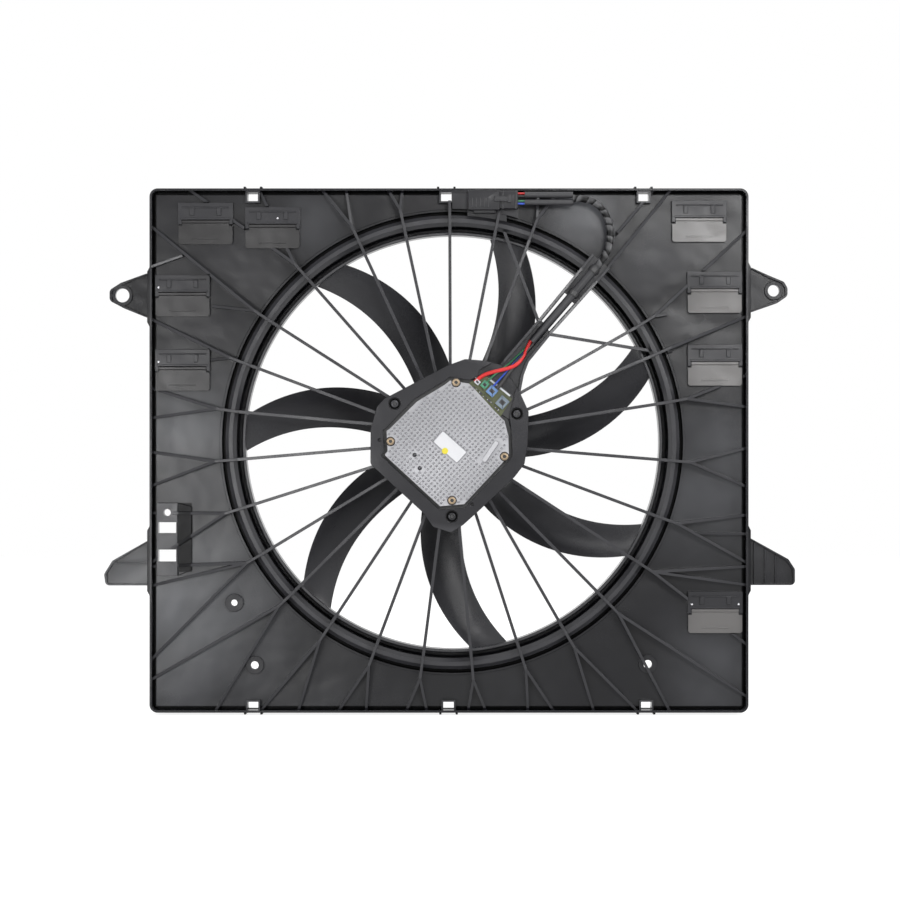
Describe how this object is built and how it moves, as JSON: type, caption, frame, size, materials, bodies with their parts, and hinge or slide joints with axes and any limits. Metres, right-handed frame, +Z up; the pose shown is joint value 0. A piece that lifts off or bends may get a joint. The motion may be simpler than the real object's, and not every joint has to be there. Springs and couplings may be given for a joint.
{
  "type": "radiator cooling fan",
  "caption": "Electric radiator cooling fan: ribbed black shroud with hinged air flaps, banded seven-blade wheel, brushless motor and cast controller.",
  "frame": {"origin": "on the fan axis, in the plane of the rim that seats on the radiator", "axes": "+X to the right seen from the engine side, +Y along the fan axis towards the radiator, +Z up"},
  "size_m": [0.7737, 0.084, 0.5874],
  "materials": {
    "shroud_black": "moulded, satin",
    "fan_black": "moulded, satin",
    "flap_grey": "matt",
    "rotor_steel": "coated",
    "magnet_grey": "matt",
    "bearing_steel": "ground",
    "black_steel": "black coated",
    "cast_aluminium": "cast, matt",
    "lamination_steel": "stamped",
    "copper_winding": "enamelled wire",
    "bronze_screw": "passivated",
    "board_green": "solder resist",
    "capacitor_grey": "satin",
    "terminal_green": "moulded",
    "terminal_blue": "moulded",
    "terminal_grey": "moulded",
    "terminal_white": "moulded",
    "wire_red": "insulation",
    "wire_black": "insulation",
    "wire_green": "insulation",
    "wire_blue": "insulation",
    "sleeve_black": "matt sleeve",
    "tape_black": "wound tape",
    "tie_black": "moulded",
    "plug_grey": "moulded"
  },
  "bodies": {
    "shroud": {"shroud_panel": "shroud_black", "left_ear": "shroud_black", "right_ear": "shroud_black", "left_tab": "shroud_black", "right_tab": "shroud_black", "fan_ring": "shroud_black", "motor_mount": "shroud_black", "cable_arm": "shroud_black", "spokes": "shroud_black", "motor_base": "cast_aluminium", "stator_core": "lamination_steel", "stator_windings": "copper_winding", "radiator_side_bearing": "bearing_steel", "engine_side_bearing": "bearing_steel", "motor_screws": "black_steel", "controller_cover": "cast_aluminium", "cover_screws": "bronze_screw", "controller_board": "board_green", "board_parts": "capacitor_grey", "terminal_red": "terminal_white", "terminal_green": "terminal_green", "terminal_blue": "terminal_blue", "terminal_grey": "terminal_grey", "terminal_guard": "terminal_white", "wire_red": "wire_red", "wire_black": "wire_black", "wire_green": "wire_green", "wire_blue": "wire_blue", "arm_sleeve": "sleeve_black", "taped_loom": "tape_black", "plug_sleeves": "sleeve_black", "cable_ties": "tie_black", "plug_housing": "plug_grey", "plug_latch": "plug_grey"},
    "fan": {"fan_hub": "fan_black", "fan_blades": "fan_black", "fan_band": "fan_black", "rotor_can": "rotor_steel", "rotor_magnets": "magnet_grey", "rotor_shaft": "bearing_steel", "hub_screws": "black_steel"},
    "flap_body_1": {"flap_1": "flap_grey"},
    "flap_body_2": {"flap_2": "flap_grey"},
    "flap_body_3": {"flap_3": "flap_grey"},
    "flap_body_4": {"flap_4": "flap_grey"},
    "flap_body_5": {"flap_5": "flap_grey"},
    "flap_body_6": {"flap_6": "flap_grey"},
    "flap_body_7": {"flap_7": "flap_grey"},
    "flap_body_8": {"flap_8": "flap_grey"}
  },
  "joints": [
    {"name": "fan_spin", "type": "hinge", "parent": "shroud", "child": "fan", "pos_m": [0, -0.0285, 0], "axis": [0, 1, 0], "continuous": true},
    {"name": "flap_swing_1", "type": "hinge", "parent": "shroud", "child": "flap_body_1", "pos_m": [-0.2749, -0.0389, 0.2456], "axis": [-1, 0, 0], "range_deg": [0, 75]},
    {"name": "flap_swing_2", "type": "hinge", "parent": "shroud", "child": "flap_body_2", "pos_m": [-0.2004, -0.0389, 0.2409], "axis": [-1, 0, 0], "range_deg": [0, 75]},
    {"name": "flap_swing_3", "type": "hinge", "parent": "shroud", "child": "flap_body_3", "pos_m": [-0.3005, -0.0389, 0.1652], "axis": [-1, 0, 0], "range_deg": [0, 75]},
    {"name": "flap_swing_4", "type": "hinge", "parent": "shroud", "child": "flap_body_4", "pos_m": [-0.3005, -0.0389, 0.0824], "axis": [-1, 0, 0], "range_deg": [0, 75]},
    {"name": "flap_swing_5", "type": "hinge", "parent": "shroud", "child": "flap_body_5", "pos_m": [0.2747, -0.0389, 0.2481], "axis": [-1, 0, 0], "range_deg": [0, 75]},
    {"name": "flap_swing_6", "type": "hinge", "parent": "shroud", "child": "flap_body_6", "pos_m": [0.2919, -0.0389, 0.1691], "axis": [-1, 0, 0], "range_deg": [0, 75]},
    {"name": "flap_swing_7", "type": "hinge", "parent": "shroud", "child": "flap_body_7", "pos_m": [0.2922, -0.0389, 0.088], "axis": [-1, 0, 0], "range_deg": [0, 75]},
    {"name": "flap_swing_8", "type": "hinge", "parent": "shroud", "child": "flap_body_8", "pos_m": [0.2925, -0.0389, -0.1873], "axis": [-1, 0, 0], "range_deg": [0, 75]}
  ]
}
